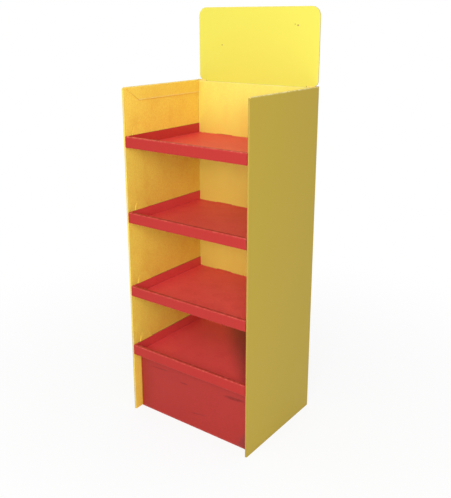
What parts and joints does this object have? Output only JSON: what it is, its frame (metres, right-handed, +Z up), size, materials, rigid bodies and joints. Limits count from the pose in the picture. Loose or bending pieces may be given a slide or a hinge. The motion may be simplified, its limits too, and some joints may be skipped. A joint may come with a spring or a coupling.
{
  "type": "cardboard display stand",
  "caption": "Free-standing folded card floor display: open shelf trays between tall side panels, a recessed plinth and a header card above the back.",
  "frame": {"origin": "on the floor, at the centre of the footprint", "axes": "+Z up, the open front faces -Y, +X to the right seen from the front"},
  "size_m": [0.6, 0.48, 1.7],
  "materials": {
    "side_yellow_card": "printed corrugated board, satin",
    "back_yellow_card": "printed corrugated board, satin",
    "header_yellow_card": "printed corrugated board, satin",
    "tray_red_card": "printed corrugated board, satin",
    "plinth_red_card": "printed corrugated board, satin",
    "plain_card": "unprinted brown corrugated board",
    "bar_steel": "zinc-plated tube"
  },
  "bodies": {
    "root": {"side_panel_left": "side_yellow_card", "side_panel_right": "side_yellow_card", "back_panel": "plain_card", "back_liner": "back_yellow_card", "header_card": "header_yellow_card", "tray_bottom": "tray_red_card", "tray_lower": "tray_red_card", "tray_upper": "tray_red_card", "tray_top": "tray_red_card", "bar_bottom": "bar_steel", "bar_lower": "bar_steel", "bar_upper": "bar_steel", "bar_top": "bar_steel", "base_plinth": "plinth_red_card", "base_rib_across": "plain_card", "base_rib_deep": "plain_card"}
  },
  "joints": []
}
